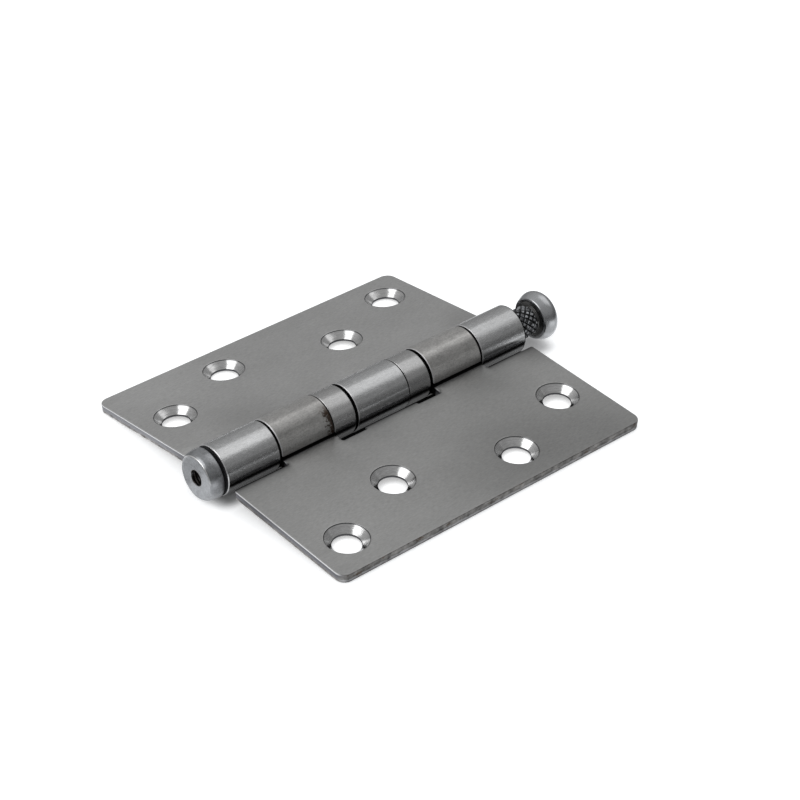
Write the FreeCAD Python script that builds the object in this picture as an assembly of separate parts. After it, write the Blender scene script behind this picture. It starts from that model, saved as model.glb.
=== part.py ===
import FreeCAD, Part
import math
import os

# Ball bearing hinge, 89 by 89 mm with the leaves open, in millimetres.
# It is worked out in a barrel frame: the barrel's axis is y, from the tip end at 0 to the pin's head,
# each leaf lies along x with its countersunk face up, and place() then sets the whole hinge down
# as it rests: knuckles up in the middle, both leaves drooping to the surface.

# Leaves
leaf_length = 89.0
leaf_reach = 45.0
leaf_thickness = 2.2
face_below_axis = 0.5
corner_radius = 2.5
edge_roll = 0.3

# Knuckles, named in order from the tip end; the fifth takes what is left of the leaf's length
knuckle_radius = 6.1
knuckle_edge = 0.15
first_knuckle = 14.6
second_knuckle = 15.1
middle_knuckle = 15.4
fourth_knuckle = 15.2
split_gap = 0.3
seam_gap = 0.12
swage_radius = 2.0
cut_out_clearance = 2.05
notch_depth = 0.7
notch_corner = 0.5

# Countersunk screw holes, staggered in two rows
screw_hole_radius = 3.3
screw_rim_radius = 5.1
screw_cone_depth = 2.0
outer_row = 35.5
inner_row = 26.35
screw_end_margin = 9.05
low_inner_screw = 29.8
high_inner_screw = 30.5

# Pin, shown pulled part of the way out
pin_clearance = 0.05
pin_pulled_out = 7.0
pin_point = 1.0
pin_end_gap = 0.6
head_height = 5.1
head_radius = 6.1
head_belly = 2.3
head_under_radius = 5.35
head_shoulder = 4.3
head_shoulder_radius = 5.25
knurl_clearance = 0.03
knurl_depth = 0.42
knurl_length = 6.6
knurl_teeth = 14
knurl_rows = 8
relief_length = 0.7
relief_depth = 0.3

# Plug that closes the tip end, with a hole to drive the pin out
plug_fit = 0.02
plug_depth = 5.0
plug_gap = 0.9
plug_length = 3.4
plug_radius = 6.05
plug_edge = 0.75
plug_shoulder = 2.4
drift_hole_radius = 1.85

# Thrust bearings, each between two knuckles
bearing_height = 7.0
bearing_play = 0.05
shell_below_knuckle = 0.04
shell_wall = 0.35
shell_height = 6.3
shell_edge = 0.15
shell_lip = 0.55
race_fit = 0.03
race_bore_clearance = 0.05
lower_race_height = 2.2
ball_radius = 0.6
ball_count = 8
ball_sides = 10
ball_rows = 5
ball_clearance = 0.03
cage_height = 0.5
cage_clearance = 0.05
pocket_sides = 8

axis_y = FreeCAD.Vector(0, 1, 0)
axis_z = FreeCAD.Vector(0, 0, 1)

# Sizes that follow from the ones above
bore_radius = knuckle_radius - leaf_thickness
pin_radius = bore_radius - pin_clearance
shell_radius = knuckle_radius - shell_below_knuckle
cut_out_reach = knuckle_radius + cut_out_clearance
notch_reach = cut_out_reach + notch_depth
face_z = -face_below_axis
back_z = face_z - leaf_thickness
bearing_space = bearing_height + bearing_play

second_start = first_knuckle + split_gap
lower_bearing_start = second_start + second_knuckle
middle_start = lower_bearing_start + bearing_space
upper_bearing_start = middle_start + middle_knuckle
fourth_start = upper_bearing_start + bearing_space
fifth_start = fourth_start + fourth_knuckle + split_gap

knuckle_spans = (
    (0.0, first_knuckle),
    (second_start, second_start + second_knuckle),
    (middle_start, middle_start + middle_knuckle),
    (fourth_start, fourth_start + fourth_knuckle),
    (fifth_start, leaf_length),
)
bearing_starts = {"lower": lower_bearing_start, "upper": upper_bearing_start}

pin_head_start = leaf_length + pin_pulled_out
pin_head_end = pin_head_start + head_height
pin_length = leaf_length - plug_depth - pin_end_gap
plug_face = -(plug_gap + plug_length)

# The widest round part touches the surface, and so do the outer lower edges of both leaves
axis_height = max(knuckle_radius, head_radius, plug_radius, shell_radius)
edge_distance = math.hypot(leaf_reach, back_z)
droop = math.degrees(math.asin(axis_height / edge_distance) - math.atan2(-back_z, leaf_reach))
middle_y = (plug_face + pin_head_end) / 2


def point(x, y, z=0.0):
    return FreeCAD.Vector(x, y, z)


def rod(radius, start, length):
    return Part.makeCylinder(radius, length, point(0, start), axis_y)


def ring(inner, outer, start, length):
    return rod(outer, start, length).cut(rod(inner, start, length))


def turned(edges):
    """A solid of revolution about the barrel's axis, from edges drawn as radius along x."""
    return Part.Face(Part.Wire(edges)).revolve(point(0, 0), axis_y, 360)


def line(start, end):
    return Part.LineSegment(start, end).toShape()


def arc(start, middle, end):
    return Part.Arc(start, middle, end).toShape()


def polyline(points):
    return [line(a, b) for a, b in zip(points, points[1:])]


def edged_rod(radius, start, length, edge):
    body = rod(radius, start, length)
    return body.makeChamfer(edge, [e for e in body.Edges if e.Curve.TypeId == "Part::GeomCircle"])


def swaged_root(start, length):
    """The bend in which the leaf dips under the pin, from the plate to the underside of the knuckle."""
    centre_z = back_z - swage_radius
    centre_x = math.sqrt((knuckle_radius + swage_radius) ** 2 - centre_z ** 2)
    meet = math.atan2(centre_z, centre_x)
    inside = (bore_radius + knuckle_radius) / 2
    bend_middle = (math.pi / 2 + meet + math.pi) / 2
    plate_end = notch_reach + leaf_thickness / 2
    plate_top = point(plate_end, start, face_z)
    plate_back = point(plate_end, start, back_z)
    bend_end = point(centre_x, start, back_z)
    bend = point(
        centre_x + swage_radius * math.cos(bend_middle), start, centre_z + swage_radius * math.sin(bend_middle)
    )
    touch = point(knuckle_radius * math.cos(meet), start, knuckle_radius * math.sin(meet))
    hidden_low = point(inside * math.cos(meet), start, inside * math.sin(meet))
    hidden_high = point(inside, start, face_z)
    edges = polyline([touch, hidden_low, hidden_high, plate_top, plate_back, bend_end])
    edges.append(arc(bend_end, bend, touch))
    return Part.Face(Part.Wire(edges)).extrude(axis_y * length)


def knuckle(start, end):
    """One rolled knuckle: its free end comes round over the pin and stops on the plate's face."""
    length = end - start
    body = edged_rod(knuckle_radius, start, length, knuckle_edge)
    body = body.fuse(swaged_root(start, length))
    body = body.cut(rod(bore_radius, start, length))
    seam = Part.makeBox(knuckle_radius * 2, length, seam_gap, point(0, start, face_z))
    return body.cut(seam)


def countersunk_hole(x, y):
    slope = (screw_rim_radius - screw_hole_radius) / screw_cone_depth
    over = edge_roll
    cone = Part.makeCone(
        screw_rim_radius + slope * over,
        screw_hole_radius,
        screw_cone_depth + over,
        point(x, y, face_z + over),
        -axis_z,
    )
    shaft = Part.makeCylinder(screw_hole_radius, leaf_thickness * 2, point(x, y, back_z - leaf_thickness / 2), axis_z)
    return cone.fuse(shaft)


def plate():
    """The flat of a leaf, with rounded outer corners and the rolled top edge that shearing leaves."""
    body = Part.makeBox(
        leaf_reach - cut_out_reach, leaf_length, leaf_thickness, point(cut_out_reach, 0, back_z)
    )
    corners = [
        e for e in body.Edges
        if abs(e.tangentAt(e.FirstParameter).z) > 0.99 and e.CenterOfMass.x > leaf_reach - edge_roll
    ]
    body = body.makeFillet(corner_radius, corners)
    rim = [
        e for e in body.Edges
        if e.BoundBox.ZMin > face_z - edge_roll and e.CenterOfMass.x > cut_out_reach + edge_roll
    ]
    return body.makeChamfer(edge_roll, rim)


def bearing_notch(start):
    body = Part.makeBox(
        notch_reach, bearing_space, leaf_thickness * 2, point(0, start, back_z - leaf_thickness / 2)
    )
    corners = [
        e for e in body.Edges
        if abs(e.tangentAt(e.FirstParameter).z) > 0.99 and e.CenterOfMass.x > cut_out_reach
    ]
    return body.makeFillet(notch_corner, corners)


def leaf(own_knuckles, outer_screws, inner_screws):
    body = plate()
    for start in bearing_starts.values():
        body = body.cut(bearing_notch(start))
    for y in outer_screws:
        body = body.cut(countersunk_hole(outer_row, y))
    for y in inner_screws:
        body = body.cut(countersunk_hole(inner_row, y))
    return body.multiFuse([knuckle(*knuckle_spans[i]) for i in own_knuckles]).removeSplitter()


def front_leaf():
    outer_screws = (screw_end_margin, leaf_length - high_inner_screw)
    inner_screws = (low_inner_screw, leaf_length - screw_end_margin)
    return leaf((1, 3), outer_screws, inner_screws)


def back_leaf():
    outer_screws = (low_inner_screw, leaf_length - screw_end_margin)
    inner_screws = (screw_end_margin, leaf_length - high_inner_screw)
    body = leaf((0, 2, 4), outer_screws, inner_screws)
    return body.mirror(point(0, 0), point(1, 0))


def knurled_band(start, length, crest, root):
    """Diamond knurl: crests and roots alternate round the band and along it, joined by flat facets."""
    columns = knurl_teeth * 2
    grid = []
    for j in range(knurl_rows + 1):
        at_end = j in (0, knurl_rows)
        row = []
        for i in range(columns):
            radius = crest if (i + j) % 2 == 0 and not at_end else root
            turn = 2 * math.pi * i / columns
            row.append(point(radius * math.cos(turn), start + length * j / knurl_rows, radius * math.sin(turn)))
        grid.append(row)
    faces = [Part.Face(Part.makePolygon(row + [row[0]])) for row in (grid[0], grid[-1])]
    for j in range(knurl_rows):
        for i in range(columns):
            k = (i + 1) % columns
            a, b, c, d = grid[j][i], grid[j][k], grid[j + 1][k], grid[j + 1][i]
            halves = ((a, b, d), (b, c, d)) if (i + j) % 2 == 0 else ((a, b, c), (a, c, d))
            faces.extend(Part.Face(Part.makePolygon([*half, half[0]])) for half in halves)
    return Part.Solid(Part.Shell(faces))


def bend_points(start, middle, end, pieces):
    return Part.Arc(start, middle, end).discretize(pieces + 1)


def pin_head():
    """The pin's button head: a flaring underside, a rounded rim and a low dome."""
    belly_y = pin_head_start + head_belly
    shoulder_y = pin_head_start + head_shoulder
    under = point(head_under_radius, pin_head_start)
    belly = point(head_radius, belly_y)
    shoulder = point(head_shoulder_radius, shoulder_y)
    rim = point((head_radius * 2 + head_shoulder_radius) / 3, belly_y + (shoulder_y - belly_y) * 0.6)
    dome = point(head_shoulder_radius * 0.6, pin_head_end - (pin_head_end - shoulder_y) * 0.36)
    outline = [
        point(0, pin_head_start),
        under,
        belly,
        *bend_points(belly, rim, shoulder, 3)[1:],
        dome,
        point(0, pin_head_end),
    ]
    return turned(polyline(outline + outline[:1]))


def hinge_pin():
    crest = bore_radius - knurl_clearance
    relief_start = pin_head_start - relief_length
    knurl_start = relief_start - knurl_length
    end = pin_head_start - pin_length
    shank = Part.makeCone(pin_radius - pin_point, pin_radius, pin_point, point(0, end), axis_y)
    shank = shank.fuse(rod(pin_radius, end + pin_point, knurl_start - end - pin_point))
    relief = rod(pin_radius - relief_depth, relief_start, relief_length)
    knurl = knurled_band(knurl_start, knurl_length, crest, crest - knurl_depth)
    return shank.multiFuse([knurl, relief, pin_head()])


def tip_plug():
    """The turned plug pressed into the first knuckle: its rim rounds over, and it is drilled for a drift."""
    back = -plug_gap
    shank_radius = bore_radius - plug_fit
    widest = point(plug_radius, plug_face + plug_shoulder)
    flank = point(plug_radius - plug_edge / 3, plug_face + plug_shoulder * 0.42)
    edge = point(plug_radius - plug_edge, plug_face)
    outline = [
        point(0, plug_depth),
        point(shank_radius, plug_depth),
        point(shank_radius, back),
        point(plug_radius, back),
        *bend_points(widest, flank, edge, 3),
        point(0, plug_face),
    ]
    hole = rod(drift_hole_radius, plug_face, plug_depth - plug_face)
    return turned(polyline(outline + outline[:1])).cut(hole)


def ball(centre):
    """A many-sided solid, near enough to round at this size, that keeps the whole part light."""
    grid = []
    for j in range(1, ball_rows):
        rise = math.pi * j / ball_rows
        turns = [2 * math.pi * i / ball_sides for i in range(ball_sides)]
        width = ball_radius * math.sin(rise)
        height = -ball_radius * math.cos(rise)
        grid.append([centre + point(width * math.cos(t), height, width * math.sin(t)) for t in turns])
    bottom = centre - axis_y * ball_radius
    top = centre + axis_y * ball_radius
    faces = []
    for i in range(ball_sides):
        k = (i + 1) % ball_sides
        faces.append([bottom, grid[0][i], grid[0][k]])
        faces.append([top, grid[-1][k], grid[-1][i]])
        faces.extend([low[i], high[i], high[k], low[k]] for low, high in zip(grid, grid[1:]))
    return Part.Solid(Part.Shell([Part.Face(Part.makePolygon([*f, f[0]])) for f in faces]))


def pocket(centre):
    """The eight-sided hole of the cage in which one ball sits."""
    across = (ball_radius + ball_clearance) / math.cos(math.pi / pocket_sides)
    low = centre - axis_y * cage_height
    corners = []
    for i in range(pocket_sides):
        turn = 2 * math.pi * (i + 0.5) / pocket_sides
        corners.append(low + point(across * math.cos(turn), 0, across * math.sin(turn)))
    return Part.Face(Part.makePolygon(corners + corners[:1])).extrude(axis_y * (cage_height * 2))


def bearing(start):
    """The pieces of one thrust bearing standing on the knuckle that ends at start."""
    inner = bore_radius + race_bore_clearance
    shell_inner = shell_radius - shell_wall
    race_outer = shell_inner - race_fit
    pitch = (inner + race_outer) / 2
    lip_radius = shell_inner - shell_lip
    lip_bottom = start + shell_height - shell_wall
    ball_y = start + lower_race_height + ball_clearance + ball_radius
    upper_bottom = ball_y + ball_radius + ball_clearance
    upper_top = start + bearing_height

    shell = rod(shell_radius, start, shell_height)
    shell = shell.makeChamfer(shell_edge, [e for e in shell.Edges if e.BoundBox.YMin > start + shell_height / 2])
    shell = shell.cut(rod(shell_inner, start, shell_height - shell_wall))
    shell = shell.cut(rod(lip_radius, start, shell_height))
    lower_race = ring(inner, race_outer, start, lower_race_height)
    flange = rod(race_outer, upper_bottom, lip_bottom - race_fit - upper_bottom)
    collar = rod(lip_radius - race_fit, upper_bottom, upper_top - upper_bottom)
    upper_race = flange.fuse(collar).removeSplitter().cut(rod(inner, upper_bottom, bearing_height))

    cage = ring(inner + cage_clearance, race_outer - cage_clearance, ball_y - cage_height / 2, cage_height)
    balls = []
    for i in range(ball_count):
        turn = 2 * math.pi * i / ball_count
        centre = point(pitch * math.cos(turn), ball_y, pitch * math.sin(turn))
        cage = cage.cut(pocket(centre))
        balls.append(ball(centre))
    return {"shell": shell, "lower_race": lower_race, "upper_race": upper_race, "cage": cage}, balls


def place(shape, turn=0.0):
    """Turn a piece about the barrel's axis and set it down in the part's own frame."""
    shape = shape.copy()
    shape.rotate(point(0, 0), axis_y, turn)
    shape.translate(point(0, -middle_y, axis_height))
    return shape


def build():
    nodes = {
        "back_leaf": place(back_leaf(), -droop),
        "front_leaf": place(front_leaf(), droop),
        "hinge_pin": place(hinge_pin()),
        "tip_plug": place(tip_plug()),
    }
    for which, start in bearing_starts.items():
        pieces, balls = bearing(start)
        for piece, shape in pieces.items():
            nodes[f"{which}_bearing_{piece}"] = place(shape)
        for number, ball in enumerate(balls, 1):
            nodes[f"{which}_bearing_ball_{number:02d}"] = place(ball)
    return nodes


os.makedirs("parts", exist_ok=True)
for name, shape in build().items():
    if not shape.isValid() or len(shape.Solids) != 1:
        raise ValueError(f"{name} isn't one valid solid")
    shape.exportStep(f"parts/{name}.step")
print(f"droop {droop:.3f} degrees, axis {axis_height} mm up, {middle_y:.3f} mm from barrel frame to middle")
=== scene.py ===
import math

import bmesh
import bpy
from mathutils import Matrix, Vector
from mathutils.geometry import delaunay_2d_cdt


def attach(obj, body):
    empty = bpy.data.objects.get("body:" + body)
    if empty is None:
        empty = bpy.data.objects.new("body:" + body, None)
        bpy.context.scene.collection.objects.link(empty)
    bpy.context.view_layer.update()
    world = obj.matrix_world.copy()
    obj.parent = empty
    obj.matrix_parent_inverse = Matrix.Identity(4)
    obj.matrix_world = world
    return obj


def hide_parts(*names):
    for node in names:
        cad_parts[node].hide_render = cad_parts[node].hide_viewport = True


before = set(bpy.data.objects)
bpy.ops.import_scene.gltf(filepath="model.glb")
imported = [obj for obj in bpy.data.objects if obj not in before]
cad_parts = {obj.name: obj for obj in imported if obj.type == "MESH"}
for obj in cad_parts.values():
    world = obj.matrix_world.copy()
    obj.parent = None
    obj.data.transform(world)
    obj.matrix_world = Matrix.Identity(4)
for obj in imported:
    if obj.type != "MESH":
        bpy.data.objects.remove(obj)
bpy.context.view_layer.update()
print("frame loaded:", len(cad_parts), "nodes")

mm = 0.001

# Where the barrel lies. Sizes below are in millimetres in the barrel's own frame: its axis is y, with 0 at
# the tip end of the leaves, and each leaf's face looks along +z. toRow() sets a point down in the part's frame.
barrel = {
    "axisHeight": 6.1,
    "middleY": 48.4,
    "droop": math.radians(4.343),
    "outerRadius": 6.1,
}


def toRow(x, y, z):
    return Vector((x * mm, stationAt(y), (z + barrel["axisHeight"]) * mm))


def stationAt(y):
    return (y - barrel["middleY"]) * mm


def newObject(name, mesh, material, body, slotName, *nodes):
    piece = bpy.data.objects.new(name, mesh)
    bpy.context.scene.collection.objects.link(piece)
    mesh.materials.clear()
    mesh.materials.append(material)
    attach(piece, body)
    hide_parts(*nodes)
    return piece


# Leaves: each is a flat blank with rounded edges, then its tabs are rolled round the pin

leafBlank = {
    "reach": 45.0,
    "length": 89.0,
    "half": 1.1,               # half of the sheet's thickness
    "middleZ": -1.6,           # the sheet's middle below the barrel's axis
    "cutOut": 8.15,
    "notch": 8.85,
    "cornerRadius": 2.5,
    "smallCorner": 0.5,
    "swageRadius": 2.0,
    "curlEnd": math.radians(360.5),
    "curlSteps": 92,
    "tabRow": 1.4,             # length of a face along a rolled tab
    "sheetRow": 4.0,           # and along the sheet's edges
    "knuckles": ((0.0, 14.6), (14.9, 30.0), (37.05, 52.45), (59.5, 74.7), (75.0, 89.0)),
    "bearings": ((30.0, 37.05), (52.45, 59.5)),
    # inset and level of each point down the blank's edge, from its face to its back
    "edge": (
        (0.42, 1.1), (0.3, 1.1), (0.22, 1.097), (0.15, 1.083), (0.09, 1.055), (0.045, 1.01), (0.015, 0.95),
        (0.0, 0.87), (0.0, 0.75), (0.0, 0.3), (0.03, 0.1), (0.06, -0.4), (0.05, -0.85), (0.07, -0.95),
        (0.11, -1.03), (0.19, -1.085), (0.27, -1.1), (0.38, -1.1),
    ),
    # the same points down the knuckles' ends, which are cut sharper
    "tabEdge": (
        (0.2, 1.1), (0.12, 1.1), (0.08, 1.085), (0.05, 1.06), (0.03, 1.03), (0.015, 1.0), (0.0, 0.95),
        (0.0, 0.87), (0.0, 0.75), (0.0, 0.3), (0.0, 0.1), (0.0, -0.4), (0.0, -0.91), (0.015, -0.93),
        (0.11, -1.006), (0.205, -1.083), (0.245, -1.1), (0.34, -1.1),
    ),
}

screwHoles = {
    # distance from the barrel and station of each hole
    "front": ((35.5, 9.05), (35.5, 58.5), (26.35, 29.8), (26.35, 79.95)),
    "back": ((35.5, 29.8), (35.5, 79.95), (26.35, 9.05), (26.35, 58.5)),
    "steps": 96,
    # radius and level of each point down a countersunk hole
    "wall": (
        (5.5, 1.1), (5.32, 1.1), (5.2, 1.097), (5.13, 1.075), (5.09, 1.03), (5.03, 0.96), (4.2, 0.16),
        (3.42, -0.6), (3.33, -0.7), (3.3, -0.77), (3.3, -1.03), (3.33, -1.08), (3.42, -1.1), (3.6, -1.1),
    ),
    "wallFrom": 4,
    "wallTo": 11,
}


def curlShape():
    # centre and radius of the swage's bend, radius of the curl, where they meet, and their lengths
    outer = barrel["outerRadius"]
    centreZ = leafBlank["middleZ"] - leafBlank["half"] - leafBlank["swageRadius"]
    centreX = math.sqrt((outer + leafBlank["swageRadius"]) ** 2 - centreZ ** 2)
    swage = leafBlank["swageRadius"] + leafBlank["half"]
    middle = outer - leafBlank["half"]
    meet = math.atan2(-centreZ, centreX)
    bendLength = swage * (math.pi / 2 - meet)
    curlLength = middle * (leafBlank["curlEnd"] - meet)
    return centreX, centreZ, swage, middle, meet, bendLength, curlLength


def tabTip():
    # where the rolled tabs end on the flat blank
    centreX, _, _, _, _, bendLength, curlLength = curlShape()
    return centreX - bendLength - curlLength


# Node helpers

class Wire:
    # a node's output, which adds, multiplies and ramps like a number
    def __init__(self, tree, socket):
        self.tree = tree
        self.socket = socket

    def __add__(self, other):
        return calc(self.tree, "ADD", self, other)

    def __sub__(self, other):
        return calc(self.tree, "SUBTRACT", self, other)

    def __rsub__(self, other):
        return calc(self.tree, "SUBTRACT", other, self)

    def __mul__(self, other):
        return calc(self.tree, "MULTIPLY", self, other)

    def least(self, other):
        return calc(self.tree, "MINIMUM", self, other)

    def most(self, other):
        return calc(self.tree, "MAXIMUM", self, other)

    def apart(self, other):
        return calc(self.tree, "ABSOLUTE", self - other)

    def swing(self, amount):
        # a noise from 0 to 1 becomes a swing about zero
        return (self - 0.5) * amount

    def ramp(self, low, high, toLow=0.0, toHigh=1.0):
        # a smooth step from toLow at low to toHigh at high
        given = {"Value": self, "From Min": low, "From Max": high, "To Min": toLow, "To Max": toHigh}
        return wire(self.tree, "ShaderNodeMapRange", given, "Result", interpolation_type="SMOOTHSTEP")


def feed(value, socket):
    if isinstance(value, Wire):
        value.tree.links.new(value.socket, socket)
    elif isinstance(value, tuple) and len(socket.default_value) == 4:
        socket.default_value = (*value, 1.0)
    else:
        socket.default_value = value


def addNode(tree, kind, given=None, **settings):
    node = tree.nodes.new(kind)
    for key, value in settings.items():
        setattr(node, key, value)
    for label, value in (given or {}).items():
        feed(value, node.inputs[label])
    return node


def wire(tree, kind, given=None, output=0, **settings):
    return Wire(tree, addNode(tree, kind, given, **settings).outputs[output])


def calc(tree, operation, *values, clamp=False):
    return wire(tree, "ShaderNodeMath", dict(enumerate(values)), operation=operation, use_clamp=clamp)


def split(vector):
    node = addNode(vector.tree, "ShaderNodeSeparateXYZ", {0: vector})
    return [Wire(vector.tree, output) for output in node.outputs]


def measure(operation, vector, point):
    return wire(vector.tree, "ShaderNodeVectorMath", {0: vector, 1: point}, "Value", operation=operation)


def attribute(tree, name, output="Fac"):
    return wire(tree, "ShaderNodeAttribute", None, output, attribute_name=name)


def noise(vector, scale, detail=3.0, roughness=0.5):
    # scale is one number, or one for each axis
    if isinstance(scale, tuple):
        vector = wire(vector.tree, "ShaderNodeMapping", {"Vector": vector, "Scale": scale})
        scale = 1.0
    given = {"Vector": vector, "Scale": scale, "Detail": detail, "Roughness": roughness}
    return wire(vector.tree, "ShaderNodeTexNoise", given, "Fac")


def mix(factor, first, second, blend="MIX"):
    tree = next(value.tree for value in (factor, first, second) if isinstance(value, Wire))
    given = {0: factor, 6: first, 7: second}
    return wire(tree, "ShaderNodeMix", given, 2, data_type="RGBA", blend_type=blend)


def brighten(colour, amount):
    # multiplies a colour by one plus a varying amount
    return mix(1.0, colour, amount + 1.0, "MULTIPLY")


def startGroup(name, **inputs):
    group = bpy.data.node_groups.new(name, "ShaderNodeTree")
    group.interface.new_socket("Vector", in_out="INPUT", socket_type="NodeSocketVector")
    for label, default in inputs.items():
        socket = group.interface.new_socket(label, in_out="INPUT", socket_type="NodeSocketFloat")
        socket.default_value = default
    outputs = group.nodes.new("NodeGroupInput").outputs
    return group, {socket.name: Wire(group, socket) for socket in outputs}


def closeGroup(group, results):
    for label in results:
        group.interface.new_socket(label, in_out="OUTPUT", socket_type="NodeSocketFloat")
    addNode(group, "NodeGroupOutput", results)
    return group


def useGroup(group, vector, **values):
    node = addNode(vector.tree, "ShaderNodeGroup", node_tree=group)
    for label, value in {"Vector": vector, **values}.items():
        feed(value, node.inputs[label])
    return {output.name: Wire(vector.tree, output) for output in node.outputs}


# Shared shader groups

def makeSatinGrain():
    # fine parallel scratches, longer than they are wide, with a slow cloudiness under them
    group, given = startGroup("satinGrain", Strength=1.0, Cloud=1.0)
    fine = noise(given["Vector"], (4200.0, 900.0, 4200.0), 3.0, 0.65)
    broad = noise(given["Vector"], (1500.0, 160.0, 1500.0), 2.0, 0.5)
    cloud = noise(given["Vector"], (90.0, 45.0, 90.0), 4.0, 0.6)
    scratches = fine * 0.78 + broad * 0.22
    return closeGroup(group, {
        "Streaks": scratches.swing(given["Strength"]), "Clouds": cloud.swing(given["Cloud"]), "Height": scratches,
    })


def makeTumbledSpeckle():
    # the soft pitting of parts tumbled in a drum
    group, given = startGroup("tumbledSpeckle", Size=1.0)
    scaling = {0: given["Vector"], "Scale": given["Size"]}
    sized = wire(group, "ShaderNodeVectorMath", scaling, operation="SCALE")
    return closeGroup(group, {"Speckle": noise(sized, 2600.0, 4.0, 0.65), "Blotch": noise(sized, 520.0, 3.0, 0.55)})


def makeSheetZones():
    # where a leaf's sheared edges, countersinks and knuckles lie, read from the sheet's own attributes
    group, given = startGroup("sheetZones")
    names = ("throughSheet", "fromEdge", "alongSheet", "sinkWall")
    level, inset, along, sinkWall = (attribute(group, name) for name in names)
    ragged = level + noise(given["Vector"], 700.0, 3.0, 0.7).swing(1.1)
    wall = inset.ramp(0.14, 0.06) * level.ramp(1.0, 0.9)
    longSide = along.ramp(42.7, 44.8)
    endSide = 1.0 - longSide
    upper = ragged.ramp(-0.4, -0.25)
    longUpper = ragged.ramp(-0.3, -0.15)
    return closeGroup(group, {
        # painted highlight on the rounded top of every edge but the outer long one
        "RollHighlight": level.ramp(0.7, 0.82) * inset.ramp(0.11, 0.05) * endSide,
        "EndLine": wall * endSide * level.ramp(0.1, 0.3),
        "EndDark": wall * endSide * upper,
        "EndRough": wall * endSide * (1.0 - upper),
        "LongDark": inset.ramp(0.2, 0.1) * longSide * longUpper,
        "LongLight": wall * longSide * (1.0 - longUpper),
        "Foot": level.ramp(-0.6, -0.95),
        "Sink": sinkWall,
        "Rim": sinkWall.ramp(0.2, 0.8) * level.ramp(0.82, 0.9),
        "ShaftShade": sinkWall * level.ramp(-0.58, -0.68),
        "Knuckle": along.ramp(7.4, 5.6),
        # the knuckles' end walls and the tabs' bends, darkened below for grime and painted shade
        "TabEnd": inset.ramp(0.06, 0.03) * along.ramp(7.4, 6.6) * level.apart(0.0).ramp(0.96, 0.92),
        # painted highlight round the knuckles' end rims
        "TabRimHighlight": inset.ramp(0.26, 0.2) * along.ramp(6.0, 4.0) * level.ramp(-0.92, -0.96),
        "Crevice": level.ramp(0.8, 0.95) * along.ramp(6.8, 6.4),
    })


satinGrain = makeSatinGrain()
tumbledSpeckle = makeTumbledSpeckle()
sheetZones = makeSheetZones()
print("shader groups ready")


# Finishes

def startMaterial(name):
    material = bpy.data.materials.new(name)
    material.use_nodes = True
    tree = material.node_tree
    tree.nodes.clear()
    shader = addNode(tree, "ShaderNodeBsdfPrincipled", {"Metallic": 1.0})
    addNode(tree, "ShaderNodeOutputMaterial", {"Surface": Wire(tree, shader.outputs[0])})
    return material, shader, wire(tree, "ShaderNodeTexCoord", None, "Object")


def finishShader(shader, colour, roughness, height, strength, distance):
    relief = {"Strength": strength, "Distance": distance, "Height": height}
    normal = wire(height.tree, "ShaderNodeBump", relief)
    for label, value in (("Base Color", colour), ("Roughness", roughness), ("Normal", normal)):
        feed(value, shader.inputs[label])


def addLightAndMarkBands(place, colour, lightAndMarkBands):
    # painted highlights and shade as lines along the barrel, set by the turn about its axis, with a rolled mark
    # among them: turn, spread, first and last station, amount
    fade = 0.2 * mm
    x, y, z = split(place)
    turn = calc(place.tree, "ARCTAN2", z - barrel["axisHeight"] * mm, x)
    for degrees, spread, start, end, amount in lightAndMarkBands:
        first, last = stationAt(start), stationAt(end)
        band = turn.apart(math.radians(degrees)).ramp(0.0, math.radians(spread), amount, 0.0)
        colour = brighten(colour, band * (y.ramp(first - fade, first) * y.ramp(last + fade, last)))
    return colour


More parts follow.
